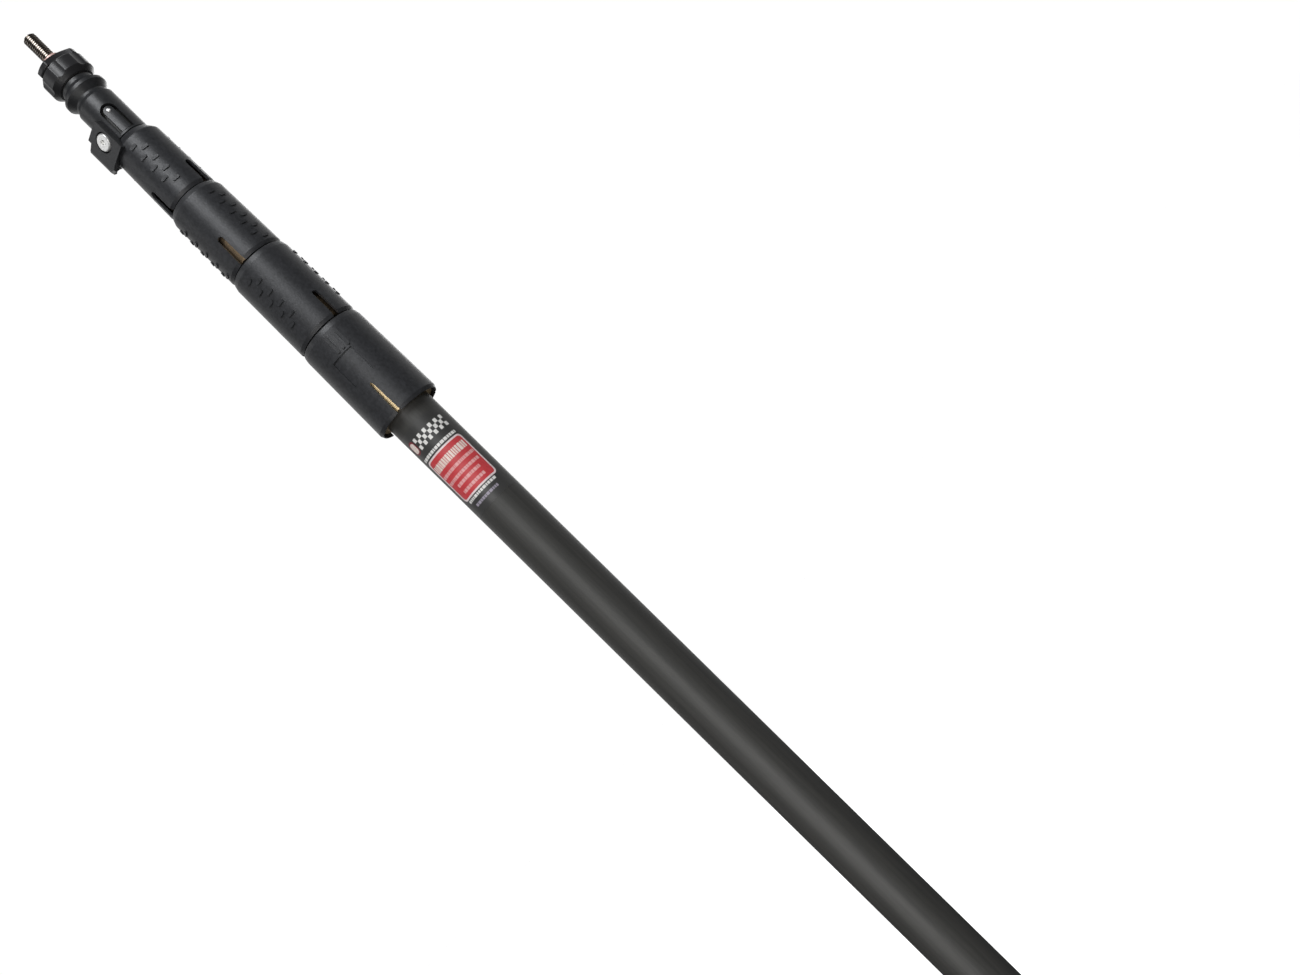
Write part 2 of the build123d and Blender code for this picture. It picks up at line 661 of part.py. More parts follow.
def make_cable_clip(sleeve_bottom):
    """Clip moulding: slanted boss with a screw recess, and a snap-in hook for the cable."""
    tangent = math.radians(CLIP_SCREW_AZIMUTH)
    face_x = CLIP_FACE_DISTANCE * math.sin(tangent)
    face_y = -CLIP_FACE_DISTANCE * math.cos(tangent)
    step_x = CLIP_FACE_HALF_WIDTH * math.cos(tangent)
    step_y = CLIP_FACE_HALF_WIDTH * math.sin(tangent)
    right = (face_x + step_x, face_y + step_y)
    left = (face_x - step_x, face_y - step_y)
    collar_nose = LOCK_NOSE_RADII[-1] + CLIP_COLLAR_CLEARANCE
    collar_wall = LOCK_UPPER_RADII[-1] + CLIP_COLLAR_CLEARANCE
    ramp_end = LOCK_TOPS[-1] - LOCK_RAMPS[-1]
    with BuildPart() as clip:
        with BuildSketch(Plane.XY.offset(CLIP_BOTTOM)):
            with BuildLine():
                Polyline(
                    polar(SLEEVE_RADIUS - 1, CLIP_FRONT_AZIMUTH),
                    right,
                    left,
                    (CLIP_SIDE_X, CLIP_SIDE_FRONT_Y),
                    (CLIP_SIDE_X, CLIP_BACK_Y),
                    polar(SLEEVE_RADIUS - 1, CLIP_BACK_AZIMUTH),
                    close=True,
                )
            make_face()
        extrude(amount=CLIP_TOP - CLIP_BOTTOM)
        with BuildSketch(Plane.XY.offset(CLIP_BOTTOM)):
            with BuildLine():
                Polyline(
                    (HOOK_INNER_X, HOOK_INNER_Y),
                    left,
                    *HOOK_FRONT_CORNERS,
                    *HOOK_BACK_CORNERS,
                    (HOOK_INNER_X, CLIP_BACK_Y),
                    close=True,
                )
            make_face()
        extrude(amount=HOOK_TOP - CLIP_BOTTOM)
        outer_edges = clip.edges().filter_by(Axis.Z).group_by(Axis.X)[0]
        fillet(outer_edges, HOOK_FILLET)
        with BuildSketch(Plane.XZ):
            with BuildLine():
                Polyline(
                    (HOOK_OUTER_X - 1, CLIP_BOTTOM - 1),
                    (HOOK_OUTER_X + HOOK_CHAMFER, CLIP_BOTTOM - 1),
                    (HOOK_OUTER_X - 1, CLIP_BOTTOM + HOOK_CHAMFER),
                    close=True,
                )
            make_face()
        extrude(amount=CLIP_FACE_DISTANCE, both=True, mode=Mode.SUBTRACT)
        with BuildSketch(Plane.YZ):
            with BuildLine():
                Polyline(
                    (0, CLIP_BOTTOM),
                    (0, CLIP_BOTTOM - 1),
                    (CLIP_BACK_Y + 1, CLIP_BOTTOM - 1),
                    (CLIP_BACK_Y + 1, CLIP_BOTTOM + HOOK_BACK_RISE),
                    close=True,
                )
            make_face()
        extrude(amount=HOOK_OUTER_X - 1, mode=Mode.SUBTRACT)
        with BuildSketch(Plane.XZ):
            with BuildLine():
                Polyline(
                    (0, CLIP_BOTTOM - 1),
                    (collar_wall, CLIP_BOTTOM - 1),
                    (collar_wall, ramp_end),
                    (collar_nose, LOCK_TOPS[-1] + FACE_GAP),
                    (SLEEVE_RADIUS, sleeve_bottom),
                    (SLEEVE_RADIUS, CLIP_TOP + 1),
                    (0, CLIP_TOP + 1),
                    close=True,
                )
            make_face()
        revolve(axis=Axis.Z, mode=Mode.SUBTRACT)
        with BuildSketch(Plane.XY.offset(CLIP_BOTTOM - 1)):
            with Locations((CABLE_CENTRE_X, 0)):
                Circle(CABLE_RADIUS)
            with Locations((CABLE_CENTRE_X, CABLE_RADIUS * 2)):
                Rectangle(CABLE_MOUTH, CABLE_RADIUS * 4)
        extrude(amount=CLIP_TOP - CLIP_BOTTOM + 2, mode=Mode.SUBTRACT)
        floor = radial_plane(CLIP_SCREW_AZIMUTH, SCREW_RECESS_FLOOR, CLIP_SCREW_HEIGHT)
        with BuildSketch(floor):
            Circle(SCREW_RECESS_RADIUS)
        extrude(amount=CLIP_FACE_DISTANCE, mode=Mode.SUBTRACT)
        with BuildSketch(floor):
            Circle(SCREW_SHANK_RADIUS)
        extrude(amount=-SCREW_RECESS_FLOOR, mode=Mode.SUBTRACT)
    return clip


def make_clip_screw():
    """Domed socket screw that holds the cable clip, its axis along the boss."""
    seat = radial_plane(CLIP_SCREW_AZIMUTH, SCREW_RECESS_FLOOR, CLIP_SCREW_HEIGHT)
    crown = radial_plane(
        CLIP_SCREW_AZIMUTH,
        SCREW_RECESS_FLOOR + SCREW_HEAD_HEIGHT - SCREW_SOCKET_DEPTH,
        CLIP_SCREW_HEIGHT,
    )
    with BuildPart() as screw:
        with BuildSketch(seat):
            Circle(SCREW_HEAD_RADIUS)
        extrude(amount=SCREW_HEAD_HEIGHT)
        outward = Axis((0, 0, CLIP_SCREW_HEIGHT), seat.z_dir)
        rim = screw.edges().filter_by(GeomType.CIRCLE).sort_by(outward)[-1]
        fillet(rim, SCREW_HEAD_FILLET)
        with BuildSketch(seat):
            Circle(SCREW_SHANK_RADIUS)
        extrude(amount=SCREW_END - SCREW_RECESS_FLOOR)
        with BuildSketch(crown):
            RegularPolygon(SCREW_SOCKET_RADIUS, 6)
        extrude(amount=SCREW_HEAD_HEIGHT, mode=Mode.SUBTRACT)
    return screw


def make_clip_insert():
    """Brass threaded insert in the sleeve, which the clip's screw runs into."""
    inner_end = radial_plane(
        CLIP_SCREW_AZIMUTH, CLIP_INSERT_INNER_END, CLIP_SCREW_HEIGHT
    )
    with BuildPart() as insert:
        with BuildSketch(inner_end):
            Circle(CLIP_INSERT_RADIUS)
            Circle(SCREW_SHANK_RADIUS, mode=Mode.SUBTRACT)
        extrude(amount=SLEEVE_RADIUS - CLIP_INSERT_INNER_END)
        with BuildSketch(Plane.XY.offset(CLIP_SCREW_HEIGHT - CLIP_INSERT_RADIUS - 1)):
            Circle(SLEEVE_RADIUS)
        extrude(amount=2 * CLIP_INSERT_RADIUS + 2, mode=Mode.INTERSECT)
    return insert


def make_label():
    """Thin printed film wrapped part of the way round the main tube."""
    radius = tube_radii[0]
    with BuildPart() as label:
        with BuildSketch(profile_plane(LABEL_FROM_AZIMUTH)):
            with Locations((radius + LABEL_THICKNESS / 2, (LABEL_TOP + LABEL_BOTTOM) / 2)):
                Rectangle(LABEL_THICKNESS, LABEL_TOP - LABEL_BOTTOM)
        revolve(axis=Axis.Z, revolution_arc=LABEL_TO_AZIMUTH - LABEL_FROM_AZIMUTH)
    return label


def make_foot():
    """Rubber foot: a cup over the lower end of the main tube."""
    with BuildPart() as foot:
        with BuildSketch(Plane.XY):
            Circle(FOOT_RADIUS)
        extrude(amount=FOOT_HEIGHT)
        with BuildSketch(Plane.XY.offset(FOOT_FLOOR)):
            Circle(tube_radii[0])
        extrude(amount=FOOT_HEIGHT, mode=Mode.SUBTRACT)
        outer_edges = foot.edges().filter_by(
            lambda edge: abs(edge.radius - FOOT_RADIUS) < 0.01
            if edge.geom_type == GeomType.CIRCLE
            else False
        )
        fillet(outer_edges, 1.4)
    return foot


def make_base_plug():
    """Cup-shaped plug bonded in the lower end of the main tube."""
    radius = tube_radii[0] - TUBE_WALL
    top = FOOT_FLOOR + PLUG_HEIGHT
    return turned(
        [
            (0, FOOT_FLOOR),
            (radius, FOOT_FLOOR),
            (radius, top),
            (radius - PLUG_WALL, top),
            (radius - PLUG_WALL, FOOT_FLOOR + PLUG_FLOOR),
            (0, FOOT_FLOOR + PLUG_FLOOR),
        ]
    )


def build_tubes():
    """The main tube and the four sliding tubes, each with a guide bush on its lower end."""
    main_top = LOCK_TOPS[0] - TUBE_TOP_BELOW_LOCK
    main_tube = ring(
        tube_radii[0], tube_radii[0] - TUBE_WALL, FOOT_FLOOR, main_top
    )
    save(main_tube.part, "main_tube")
    tops = [top - TUBE_TOP_BELOW_LOCK for top in LOCK_TOPS[1:]]
    tops.append(INSERT_FLANGE_TOP - INSERT_FLANGE)
    for number, top in enumerate(tops, start=1):
        radius = tube_radii[number]
        tube = ring(radius, radius - TUBE_WALL, NESTED_TUBE_BOTTOM, top)
        save(tube.part, f"section_{number + 1}_tube")
        bush = ring(
            tube_radii[number - 1] - TUBE_WALL - BUSH_GAP,
            radius,
            NESTED_TUBE_BOTTOM,
            NESTED_TUBE_BOTTOM + BUSH_LENGTH,
        )
        save(bush.part, f"guide_bush_{number + 1}")


def build_locks():
    """Four locks, each a collar, a wiper ring, a threaded ferrule and a split olive."""
    for index, top in enumerate(LOCK_TOPS):
        inner_tube = tube_radii[index + 1]
        save(make_collar(index).part, f"locking_collar_{index + 1}")
        wiper = ring(
            inner_tube + WIPER_GROOVE,
            inner_tube + WIPER_GAP,
            top - WIPER_BOTTOM,
            top - WIPER_TOP,
        )
        save(wiper.part, f"wiper_ring_{index + 1}")
        save(make_ferrule(index).part, f"collet_ferrule_{index + 1}")
        save(make_olive(index).part, f"split_olive_{index + 1}")


def build_head():
    """Sleeve, insert, stud with its knob, nut and washers, tongue and cable clip."""
    sleeve_bottom = LOCK_TOPS[-1] + FACE_GAP
    save(make_head_sleeve(sleeve_bottom).part, "head_sleeve")
    save(make_head_insert().part, "head_insert")
    save(make_tip_stud().part, "tip_stud")
    save(make_retaining_clip().part, "retaining_clip")
    save(make_thumb_knob().part, "thumb_knob")
    save(make_lock_nut().part, "lock_nut")
    nut_washer = ring(WASHER_RADIUS, WASHER_BORE, WASHER_BOTTOM, STUD_EXPOSED_BOTTOM)
    save(nut_washer.part, "nut_washer")
    thrust_washer = ring(
        THRUST_WASHER_RADIUS,
        INSERT_BORE,
        SLEEVE_TOP,
        SLEEVE_TOP + THRUST_WASHER_THICKNESS,
    )
    save(thrust_washer.part, "thrust_washer")
    save(make_release_tongue().part, "release_tongue")
    save(make_tongue_pin().part, "tongue_pin")
    save(make_cable_clip(sleeve_bottom).part, "cable_clip")
    save(make_clip_screw().part, "clip_screw")
    save(make_clip_insert().part, "clip_insert")


def build_base():
    """Foot, plug and label of the main tube."""
    save(make_foot().part, "rubber_foot")
    save(make_base_plug().part, "base_plug")
    save(make_label().part, "label")


os.makedirs("parts", exist_ok=True)
build_tubes()
build_locks()
build_head()
build_base()
print("section travels", [round(travel, 1) for travel in section_travels])
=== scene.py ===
"""Looks of the telescopic boom pole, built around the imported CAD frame."""

import json
import math
import random

import bmesh
import bpy
from mathutils import Matrix, Vector


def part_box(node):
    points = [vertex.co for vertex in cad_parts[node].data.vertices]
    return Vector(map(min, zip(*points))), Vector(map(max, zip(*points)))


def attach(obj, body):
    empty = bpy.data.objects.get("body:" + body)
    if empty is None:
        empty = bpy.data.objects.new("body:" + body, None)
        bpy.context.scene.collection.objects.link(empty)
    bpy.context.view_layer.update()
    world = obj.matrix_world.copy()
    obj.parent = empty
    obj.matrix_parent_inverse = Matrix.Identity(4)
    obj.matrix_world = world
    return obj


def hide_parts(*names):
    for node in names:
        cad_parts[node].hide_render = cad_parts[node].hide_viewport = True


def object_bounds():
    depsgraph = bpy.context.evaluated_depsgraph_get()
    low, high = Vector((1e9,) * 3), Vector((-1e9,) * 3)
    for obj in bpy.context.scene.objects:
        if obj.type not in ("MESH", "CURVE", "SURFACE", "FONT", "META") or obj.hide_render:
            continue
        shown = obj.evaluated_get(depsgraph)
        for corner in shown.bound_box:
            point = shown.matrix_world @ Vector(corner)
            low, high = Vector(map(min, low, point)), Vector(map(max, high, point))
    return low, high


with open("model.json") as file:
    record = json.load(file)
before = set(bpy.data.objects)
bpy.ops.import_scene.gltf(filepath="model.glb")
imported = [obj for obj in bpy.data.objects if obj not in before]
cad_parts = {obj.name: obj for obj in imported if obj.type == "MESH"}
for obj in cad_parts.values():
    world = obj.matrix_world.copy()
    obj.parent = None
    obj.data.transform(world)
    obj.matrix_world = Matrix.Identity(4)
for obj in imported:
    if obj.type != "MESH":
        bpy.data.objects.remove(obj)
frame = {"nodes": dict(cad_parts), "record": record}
bounds_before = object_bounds()
top = bounds_before[1].z

MM = 0.001
THREAD_PITCH = 25.4 / 16 * MM
THREAD_SEGMENTS = 64
THREAD_DEPTH = 0.9 * MM
THREAD_PROFILE = [(0.0, 0.0), (0.12, 0.0), (0.45, 1.0), (0.67, 1.0)]
THREAD_ABOVE_KNOB = 0.2 * MM
TIP_CHAMFER = 1.0 * MM
STUD_CORE_RADIUS = 4.4 * MM
STUD_SHANK_RADIUS = 4.0 * MM
STUD_GROOVE_RADIUS = 3.2 * MM
STUD_SHOULDER_ABOVE_KNOB_FACE = 3.4 * MM

# Printed label: lifts of the layers over the film, and the thickness and steps of a block
BASE_LIFT = 0.005 * MM
PANEL_LIFT = 0.03 * MM
TEXT_LIFT = 0.055 * MM
INK_THICKNESS = 0.02 * MM
FINE_CORNER = 0.3 * MM
CORNER_STEPS = 4
BLOCK_STEP = 1.5 * MM

# Camera: its place, the tip's height over it, and its view and right-hand directions
CAMERA_X = 0.0746
CAMERA_Y = -0.8461
CAMERA_BELOW_TIP = 0.5635
CAMERA_FORWARD = Vector((0.0003, 0.99824, 0.0593))
CAMERA_RIGHT = Vector((0.6971, 0.0423, -0.7157))
CAMERA_LENS = 36.0

random.seed(7)


# ---------------------------------------------------------------- materials


def new_material(name):
    """A node material with its shader, and shared object coordinates in metres."""
    material = bpy.data.materials.new(name)
    material.use_nodes = True
    tree = material.node_tree
    shader = tree.nodes["Principled BSDF"]
    coordinates = tree.nodes.new("ShaderNodeTexCoord")
    return material, tree, shader, coordinates.outputs["Object"]


def noise(tree, vector, scale, detail=3.0, stretch=(1.0, 1.0, 1.0)):
    """Noise over object space, stretched by a mapping."""
    mapping = tree.nodes.new("ShaderNodeMapping")
    mapping.inputs["Scale"].default_value = stretch
    texture = tree.nodes.new("ShaderNodeTexNoise")
    texture.inputs["Scale"].default_value = scale
    texture.inputs["Detail"].default_value = detail
    tree.links.new(vector, mapping.inputs["Vector"])
    tree.links.new(mapping.outputs["Vector"], texture.inputs["Vector"])
    return texture.outputs["Fac"]


def ramp(tree, value, stops):
    """Colour ramp of (position, colour) stops driven by a value."""
    node = tree.nodes.new("ShaderNodeValToRGB")
    elements = node.color_ramp.elements
    elements[0].position, elements[0].color = stops[0][0], (*stops[0][1], 1)
    elements[1].position, elements[1].color = stops[-1][0], (*stops[-1][1], 1)
    for position, colour in stops[1:-1]:
        elements.new(position).color = (*colour, 1)
    tree.links.new(value, node.inputs["Fac"])
    return node.outputs["Color"]


def bump(tree, shader, height, strength, distance):
    """Bump the shader's normal by a height signal."""
    node = tree.nodes.new("ShaderNodeBump")
    node.inputs["Strength"].default_value = strength
    node.inputs["Distance"].default_value = distance
    tree.links.new(height, node.inputs["Height"])
    tree.links.new(node.outputs["Normal"], shader.inputs["Normal"])


def shade(colour, factor):
    """A colour made darker or lighter."""
    return tuple(channel * factor for channel in colour)


def plastic(name, colour, roughness, grain, strength, mottle=0.12, tone_scale=60.0):
    """Moulded plastic or rubber with a fine grain and slightly uneven colour."""
    material, tree, shader, place = new_material(name)
    tone = noise(tree, place, tone_scale, 4.0)
    stops = [(0.3, shade(colour, 1 - mottle)), (0.7, shade(colour, 1 + mottle))]
    tree.links.new(ramp(tree, tone, stops), shader.inputs["Base Color"])
    fine = noise(tree, place, grain, 2.0)
    rough = [
        (0.3, (roughness - 0.04,) * 3),
        (0.7, (roughness + 0.04,) * 3),
    ]
    tree.links.new(ramp(tree, fine, rough), shader.inputs["Roughness"])
    bump(tree, shader, fine, strength, 0.0001)
    return material


def metal(name, colour, roughness, stretch, strength=0.15, metallic=1.0):
    """Machined metal with fine turning marks along the stretched direction."""
    material, tree, shader, place = new_material(name)
    marks = noise(tree, place, 900.0, 2.0, stretch)
    stops = [(0.3, shade(colour, 0.88)), (0.7, shade(colour, 1.08))]
    tree.links.new(ramp(tree, marks, stops), shader.inputs["Base Color"])
    rough = [(0.3, (roughness - 0.05,) * 3), (0.7, (roughness + 0.07,) * 3)]
    tree.links.new(ramp(tree, marks, rough), shader.inputs["Roughness"])
    shader.inputs["Metallic"].default_value = metallic
    bump(tree, shader, marks, strength, 0.00005)
    return material


def carbon():
    """Matt wound carbon tube: faint lengthwise streaks and a fine tooth."""
    material, tree, shader, place = new_material("carbon_tube")
    streaks = noise(tree, place, 500.0, 4.0, (1.0, 1.0, 0.03))
    stops = [(0.3, (0.036, 0.036, 0.034)), (0.7, (0.050, 0.049, 0.046))]
    tree.links.new(ramp(tree, streaks, stops), shader.inputs["Base Color"])
    fine = noise(tree, place, 2600.0, 2.0)
    rough = [(0.3, (0.44,) * 3), (0.7, (0.54,) * 3)]
    tree.links.new(ramp(tree, fine, rough), shader.inputs["Roughness"])
    bump(tree, shader, fine, 0.12, 0.0001)
    return material


def ink(name, colour):
    """Printed ink: flat colour broken slightly by wear."""
    material, tree, shader, place = new_material(name)
    wear = noise(tree, place, 700.0, 4.0)
    stops = [(0.3, shade(colour, 0.85)), (0.6, colour)]
    tree.links.new(ramp(tree, wear, stops), shader.inputs["Base Color"])
    shader.inputs["Roughness"].default_value = 0.45
    return material


finishes = {
    "carbon_tube": carbon(),
    "collar_nylon": plastic("collar_nylon", (0.026, 0.027, 0.030), 0.42, 1000.0, 0.5, 0.3, 450.0),
    "head_nylon": plastic("head_nylon", (0.025, 0.026, 0.028), 0.38, 1200.0, 0.3, 0.2, 450.0),
    "knob_nylon": plastic("knob_nylon", (0.022, 0.022, 0.024), 0.36, 1800.0, 0.25),
    "seal_rubber": plastic("seal_rubber", (0.02, 0.02, 0.02), 0.7, 1500.0, 0.3),
    "foot_rubber": plastic("foot_rubber", (0.03, 0.03, 0.03), 0.75, 900.0, 0.5),
    "acetal": plastic("acetal", (0.72, 0.70, 0.64), 0.4, 1500.0, 0.1),
    "label_film": plastic("label_film", (0.045, 0.045, 0.044), 0.38, 2000.0, 0.08),
    "ferrule_gold": metal("ferrule_gold", (0.80, 0.62, 0.36), 0.34, (0.2, 0.2, 2.0)),
    "insert_brass": metal("insert_brass", (0.75, 0.52, 0.2), 0.3, (1, 1, 6)),
    "stud_steel": metal("stud_steel", (0.34, 0.31, 0.28), 0.2, (1, 1, 6)),
    "spring_steel": metal("spring_steel", (0.3, 0.3, 0.32), 0.35, (1, 1, 6)),
    "insert_aluminium": metal("insert_aluminium", (0.7, 0.7, 0.72), 0.35, (1, 1, 6)),
    "washer_copper": metal("washer_copper", (0.90, 0.62, 0.56), 0.5, (1, 1, 6), 0.15, 0.35),
    "screw_chrome": metal("screw_chrome", (0.88, 0.88, 0.87), 0.3, (4, 4, 4), 0.05, 0.6),
}
# Ferrules 2 to 4 get a darker copy of the gold ferrule finish, which is painted shade for
# ferrules that sit in shadow inside their collars
painted_shade_ferrule = metal("ferrule_gold_painted_shade", (0.26, 0.19, 0.12), 0.4, (0.2, 0.2, 2.0))
for subpart in frame["record"]["subparts"]:
    name = subpart["node"]
    finish = finishes[subpart["material_slot"]]
    if name in ("collet_ferrule_2", "collet_ferrule_3", "collet_ferrule_4"):
        finish = painted_shade_ferrule
    node = frame["nodes"][name]
    node.data.materials.clear()
    node.data.materials.append(finish)

# ---------------------------------------------------------------- threaded stud


def add_piece(name, vertices, faces, material, body):
    """A mesh piece in the row frame that rides on a CAD body."""
    mesh = bpy.data.meshes.new(name)
    mesh.from_pydata(vertices, [], faces)
    mesh.materials.append(material)
    mesh.validate()
    piece = bpy.data.objects.new(name, mesh)
    bpy.context.scene.collection.objects.link(piece)
    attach(piece, body)
    return piece


def revolved_grid(rings, segments):
    """Vertices and faces of a surface of revolution through (radius, height) rings."""
    vertices = []
    for radius, height in rings:
        for step in range(segments):
            angle = 2 * math.pi * step / segments
            vertices.append((radius * math.cos(angle), radius * math.sin(angle), height))
    faces = []
    for row in range(len(rings) - 1):
        for step in range(segments):
            after = (step + 1) % segments
            low, high = row * segments, (row + 1) * segments
            faces.append((low + step, low + after, high + after, high + step))
    return vertices, faces


def thread_surface(major, minor, bottom, tip):
    """Vertices and faces of a right-hand thread, clipped flat at both ends."""
    count = len(THREAD_PROFILE)
    turns = math.ceil((tip - bottom) / THREAD_PITCH) + 2
    steps = turns * THREAD_SEGMENTS
    vertices = []
    for step in range(steps + 1):
        angle = 2 * math.pi * step / THREAD_SEGMENTS
        base = bottom + THREAD_PITCH * (step / THREAD_SEGMENTS - 1)
        for share, rise in THREAD_PROFILE:
            height = min(max(base + share * THREAD_PITCH, bottom), tip)
            radius = minor
            if height > bottom:
                radius += rise * (major - minor)
            radius = min(radius, major - TIP_CHAMFER + tip - height)
            vertices.append((radius * math.cos(angle), radius * math.sin(angle), height))
    faces = []
    for step in range(steps):
        for point in range(count):
            here = step * count + point
            above = here + 1
            if point == count - 1:
                above = (step + THREAD_SEGMENTS) * count
            if above + count < len(vertices):
                faces.append((here, here + count, above + count, above))
    return vertices, faces


def join_surfaces(surfaces):
    """One list of vertices and faces from several."""
    vertices, faces = [], []
    for some_vertices, some_faces in surfaces:
        start = len(vertices)
        vertices += some_vertices
        faces += [tuple(index + start for index in face) for face in some_faces]
    return vertices, faces


def weld(piece):
    """Merge touching vertices and drop faces that closed up."""
    mesh = bmesh.new()
    mesh.from_mesh(piece.data)
    bmesh.ops.remove_doubles(mesh, verts=mesh.verts, dist=1e-6)
    bmesh.ops.dissolve_degenerate(mesh, edges=mesh.edges, dist=1e-7)
    loose = [vertex for vertex in mesh.verts if not vertex.link_faces]
    bmesh.ops.delete(mesh, geom=loose, context="VERTS")
    bmesh.ops.recalc_face_normals(mesh, faces=mesh.faces)
    mesh.to_mesh(piece.data)
    mesh.free()


def make_threaded_stud():
    """The tip stud with a real helical thread above the thumb knob."""
    low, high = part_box("tip_stud")
    knob_low, knob_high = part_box("thumb_knob")
    clip_low, clip_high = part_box("retaining_clip")
    major = high.x
    minor = major - THREAD_DEPTH
    shoulder = knob_low.z + STUD_SHOULDER_ABOVE_KNOB_FACE
    thread_bottom = knob_high.z + THREAD_ABOVE_KNOB
    shank = [
        (0.0, low.z),
        (STUD_SHANK_RADIUS, low.z),
        (STUD_SHANK_RADIUS, clip_low.z),
        (STUD_GROOVE_RADIUS, clip_low.z),
        (STUD_GROOVE_RADIUS, clip_high.z),
        (STUD_SHANK_RADIUS, clip_high.z),
        (STUD_SHANK_RADIUS, shoulder),
        (STUD_CORE_RADIUS, shoulder),
        (STUD_CORE_RADIUS, thread_bottom),
        (minor, thread_bottom),
    ]
    cap = [(major - TIP_CHAMFER, high.z), (0.0, high.z)]
    vertices, faces = join_surfaces(
        [
            revolved_grid(shank, THREAD_SEGMENTS),
            thread_surface(major, minor, thread_bottom, high.z),
            revolved_grid(cap, THREAD_SEGMENTS),
        ]
    )
    stud = add_piece(
        "threaded_stud", vertices, faces, finishes["stud_steel"], "spindle"
    )
    weld(stud)
    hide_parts("tip_stud")


make_threaded_stud()

# ---------------------------------------------------------------- printed label

label_low, label_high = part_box("label")
label_radius = -label_low.y


def curved_block(start, end, bottom, height, corner, radius):
    """Closed thin block wrapped round the pole, from azimuth start to end in degrees."""
    width = math.radians(end - start) * radius
    corner = min(corner, width / 2, height / 2)
    quarter = [math.pi / 2 * step / CORNER_STEPS for step in range(CORNER_STEPS + 1)]
    rounding = [corner * (1 - math.cos(angle)) for angle in quarter]
    span = width - 2 * corner
    inner = int(span / BLOCK_STEP)
    between = [corner + span * (step + 1) / (inner + 1) for step in range(inner)]
    columns = rounding + between + [width - along for along in reversed(rounding)]
    vertices, faces = [], []
    for along in columns:
        edge = max(corner - min(along, width - along), 0.0)
        inset = corner - math.sqrt(max(corner**2 - edge**2, 0.0))
        inset = min(inset, height / 2 - MM / 1000)
        angle = math.radians(start) + along / radius
        for shell in (radius, radius + INK_THICKNESS):
            for level in (bottom + inset, bottom + height - inset):
                vertices.append(
                    (shell * math.sin(angle), -shell * math.cos(angle), level)
                )
    last = len(columns) - 1
    for column in range(last):
        here, after = 4 * column, 4 * (column + 1)
        for first, second in ((0, 1), (1, 3), (3, 2), (2, 0)):
            faces.append((here + first, here + second, after + second, after + first))
    faces.append((0, 2, 3, 1))
    faces.append((4 * last, 4 * last + 1, 4 * last + 3, 4 * last + 2))
    return vertices, faces


def word_row(start, end, bottom, height, shortest, longest, gap):
    """Blocks of uneven length in a row round the pole, like words with no letters."""
    blocks = []
    azimuth = start
    while azimuth < end - shortest:
        length = min(random.uniform(shortest, longest), end - azimuth)
        blocks.append((azimuth, azimuth + length, bottom, height))
        azimuth += length + gap
    return blocks


def print_blocks(name, blocks, colour, lift, corner):
    """One printed piece of blocks (start, end, low, height), low from the label's lower edge."""
    radius = label_radius + lift
    surfaces = [
        curved_block(start, end, label_low.z + low * MM, height * MM, corner, radius)
        for start, end, low, height in blocks
    ]
    vertices, faces = join_surfaces(surfaces)
    piece = add_piece(name, vertices, faces, colour, "main_pole")
    weld(piece)


def chequer(start, end, bottom, rows, cell_height, cell_width):
    """A plain chequered band round the pole, as blocks."""
    blocks = []
    columns = int((end - start) / cell_width)
    for row in range(rows):
        for column in range(row % 2, columns, 2):
            azimuth = start + column * cell_width
            low = bottom + row * cell_height
            blocks.append((azimuth, azimuth + cell_width, low, cell_height))
    return blocks


white_ink = ink("ink_white", (0.80, 0.79, 0.77))
cream_ink = ink("ink_cream", (0.86, 0.74, 0.68))
border_ink = ink("ink_border", (0.84, 0.70, 0.71))
rose_ink = ink("ink_rose", (0.82, 0.42, 0.42))
red_ink = ink("ink_red", (0.60, 0.055, 0.065))
deep_red_ink = ink("ink_deep_red", (0.20, 0.02, 0.03))
grey_ink = ink("ink_grey", (0.36, 0.33, 0.40))

# Azimuths are in degrees, heights in millimetres above the label's lower edge
border = [(-60.0, 52.0, 12.4, 36.0)]
panel = [(-55.5, 48.0, 13.7, 33.4)]
badge = [(-62.0, -40.5, 56.0, 10.6)]
badge_core = [(-59.8, -43.4, 57.4, 7.8)]
title = word_row(-53.0, 46.0, 37.8, 5.6, 3.0, 8.0, 1.6)
lines = []
for low, start, end in [
    (32.2, -53.0, 46.0),
    (26.6, -53.0, 46.0),
    (21.8, -38.0, 30.0),
    (16.4, -38.0, 30.0),
]:
    lines += word_row(start, end, low, 2.3, 2.5, 9.0, 1.2)
mark = chequer(-37.0, 52.0, 56.6, 3, 3.0, 8.0)
rules = word_row(-60.0, 52.0, 49.6, 2.2, 3.0, 9.0, 1.4)
rules += word_row(-50.0, 40.0, 9.6, 2.0, 3.0, 9.0, 1.4)
foot_line = word_row(-40.0, 29.0, 4.8, 2.0, 3.0, 8.0, 1.4)

print_blocks("print_border", border, border_ink, BASE_LIFT, 3 * MM)
print_blocks("print_panel", panel, red_ink, PANEL_LIFT, 2.2 * MM)
print_blocks("print_title", title, cream_ink, TEXT_LIFT, 2 * FINE_CORNER)
print_blocks("print_lines", lines, rose_ink, TEXT_LIFT, FINE_CORNER)
print_blocks("print_mark", mark, white_ink, BASE_LIFT, FINE_CORNER)
print_blocks("print_badge", badge, deep_red_ink, BASE_LIFT, 3 * MM)
print_blocks("print_badge_core", badge_core, cream_ink, PANEL_LIFT, 2 * MM)
print_blocks("print_rules", rules, white_ink, BASE_LIFT, FINE_CORNER)
print_blocks("print_foot_line", foot_line, grey_ink, BASE_LIFT, FINE_CORNER)

# ---------------------------------------------------------------- stage, light, camera


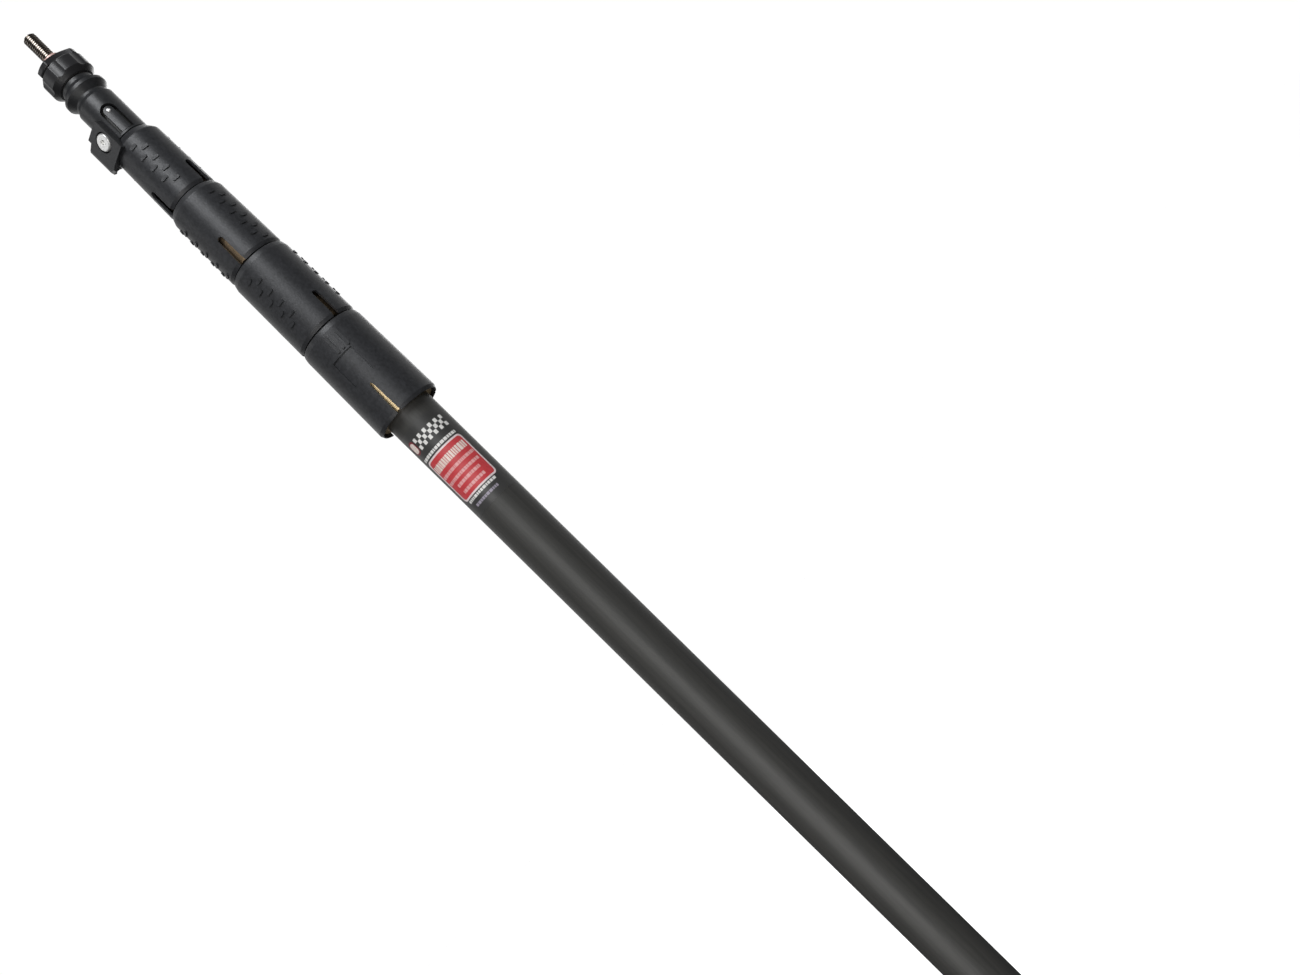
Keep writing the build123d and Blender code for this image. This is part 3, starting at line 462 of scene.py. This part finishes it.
def make_floor():
    """Large pale floor under the foot."""
    mesh = bpy.data.meshes.new("studio_floor")
    half = 6.0
    corners = [(-half, -half, 0), (half, -half, 0), (half, half, 0), (-half, half, 0)]
    mesh.from_pydata(corners, [], [(0, 1, 2, 3)])
    floor = bpy.data.objects.new("studio_floor", mesh)
    bpy.context.scene.collection.objects.link(floor)
    material, tree, shader, place = new_material("studio_floor")
    tone = noise(tree, place, 3.0)
    stops = [(0.3, (0.88, 0.88, 0.88)), (0.7, (0.90, 0.90, 0.90))]
    tree.links.new(ramp(tree, tone, stops), shader.inputs["Base Color"])
    shader.inputs["Roughness"].default_value = 0.9
    shader.inputs["Emission Color"].default_value = (1, 1, 1, 1)
    shader.inputs["Emission Strength"].default_value = 0.7
    dim = tree.nodes.new("ShaderNodeBsdfDiffuse")
    dim.inputs["Color"].default_value = (0.09, 0.09, 0.09, 1)
    path = tree.nodes.new("ShaderNodeLightPath")
    mix = tree.nodes.new("ShaderNodeMixShader")
    tree.links.new(path.outputs["Is Camera Ray"], mix.inputs["Fac"])
    tree.links.new(dim.outputs["BSDF"], mix.inputs[1])
    tree.links.new(shader.outputs["BSDF"], mix.inputs[2])
    output = tree.nodes["Material Output"]
    tree.links.new(mix.outputs["Shader"], output.inputs["Surface"])
    mesh.materials.append(material)


def make_world():
    """White to the camera; to the pole, dark in front and brighter behind, for dark edges."""
    world = bpy.data.worlds.new("studio")
    bpy.context.scene.world = world
    world.use_nodes = True
    tree = world.node_tree
    background = tree.nodes["Background"]
    place = tree.nodes.new("ShaderNodeTexCoord")
    split = tree.nodes.new("ShaderNodeSeparateXYZ")
    tree.links.new(place.outputs["Generated"], split.inputs["Vector"])
    glow_levels = [(0.0, 0.05), (0.45, 0.08), (0.72, 0.6), (1.0, 1.0)]
    shares = [(position, (level,) * 3) for position, level in glow_levels]
    half = tree.nodes.new("ShaderNodeMath")
    half.operation = "MULTIPLY_ADD"
    half.inputs[1].default_value = 0.5
    half.inputs[2].default_value = 0.5
    tree.links.new(split.outputs["Y"], half.inputs[0])
    glow = ramp(tree, half.outputs["Value"], shares)
    path = tree.nodes.new("ShaderNodeLightPath")
    choose = tree.nodes.new("ShaderNodeMix")
    choose.data_type = "RGBA"
    colour_a = [i for i in choose.inputs if i.name == "A" and i.type == "RGBA"][0]
    colour_b = [i for i in choose.inputs if i.name == "B" and i.type == "RGBA"][0]
    colour_b.default_value = (1.02, 1.02, 1.02, 1)
    result = [o for o in choose.outputs if o.type == "RGBA"][0]
    tree.links.new(path.outputs["Is Camera Ray"], choose.inputs["Factor"])
    tree.links.new(glow, colour_a)
    tree.links.new(result, background.inputs["Color"])


def add_softbox(name, place, target, width, height, watts, colour=(1, 1, 1)):
    """A rectangular area light aimed at a point."""
    light = bpy.data.lights.new(name, "AREA")
    light.shape = "RECTANGLE"
    light.size = width
    light.size_y = height
    light.energy = watts
    light.color = colour
    lamp = bpy.data.objects.new(name, light)
    lamp.location = place
    lamp.visible_camera = False
    aim = Vector(target) - Vector(place)
    lamp.rotation_euler = aim.to_track_quat("-Z", "Y").to_euler()
    bpy.context.scene.collection.objects.link(lamp)


def make_camera():
    """Camera at the photograph's place and roll."""
    forward = CAMERA_FORWARD.normalized()
    right = (CAMERA_RIGHT - CAMERA_RIGHT.dot(forward) * forward).normalized()
    up = right.cross(forward)
    turn = Matrix((right, up, -forward)).transposed().to_4x4()
    data = bpy.data.cameras.new("camera")
    data.lens = CAMERA_LENS
    data.clip_start = 0.01
    camera = bpy.data.objects.new("camera", data)
    place = Vector((CAMERA_X, CAMERA_Y, top - CAMERA_BELOW_TIP))
    camera.matrix_world = Matrix.Translation(place) @ turn
    bpy.context.scene.collection.objects.link(camera)
    bpy.context.scene.camera = camera


make_floor()
make_world()
add_softbox(
    "upper_strip", (0.22, -1.7, 2.24), (0.0, 0.0, 0.95), 1.15, 1.05, 31.0, (0.95, 0.97, 1.0)
)
add_softbox(
    "lower_strip", (-0.22, -1.7, 0.5), (0.0, 0.0, 0.35), 1.0, 0.9, 9.5, (1.0, 0.99, 0.97)
)
add_softbox(
    "low_strip", (-0.3, -0.75, 0.06), (0.0, 0.0, 0.15), 0.9, 0.1, 2.5, (1.0, 0.99, 0.97)
)
add_softbox("back_strip", (0.3, 1.75, 1.5), (0.0, 0.0, 0.7), 0.8, 1.8, 11.0)
add_softbox("side_fill", (-1.05, -0.25, 1.68), (0.0, 0.0, 0.97), 0.5, 0.5, 1.0)
make_camera()
scene = bpy.context.scene
scene.view_settings.view_transform = "Standard"
